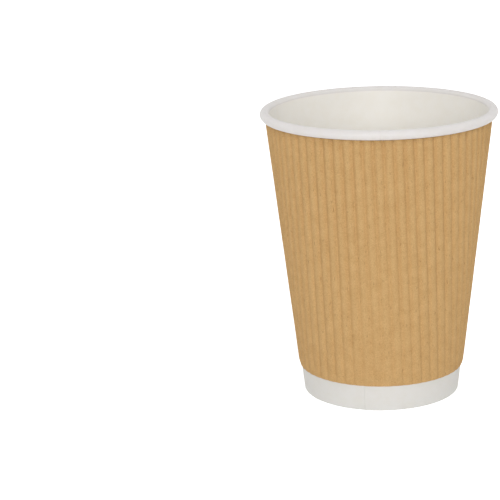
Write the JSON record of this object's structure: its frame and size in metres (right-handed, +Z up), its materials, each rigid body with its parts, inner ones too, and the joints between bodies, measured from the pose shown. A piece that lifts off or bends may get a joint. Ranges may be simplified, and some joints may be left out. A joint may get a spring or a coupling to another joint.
{
  "type": "paper coffee cup",
  "caption": "Takeaway paper cup with a rolled rim, a recessed base on a folded foot ring, and a fluted kraft sleeve bonded round its wall.",
  "frame": {"origin": "centre of the folded foot ring, on the surface that the cup stands on", "axes": "+Z up the cup's axis to the rim; -Y to the side where the glued side seam is"},
  "size_m": [0.09, 0.09, 0.111],
  "materials": {
    "white_paper": "satin",
    "kraft_paper": "matte"
  },
  "bodies": {
    "root": {"cup_wall": "white_paper", "cup_base": "white_paper", "ripple_sleeve": "kraft_paper"}
  },
  "joints": []
}
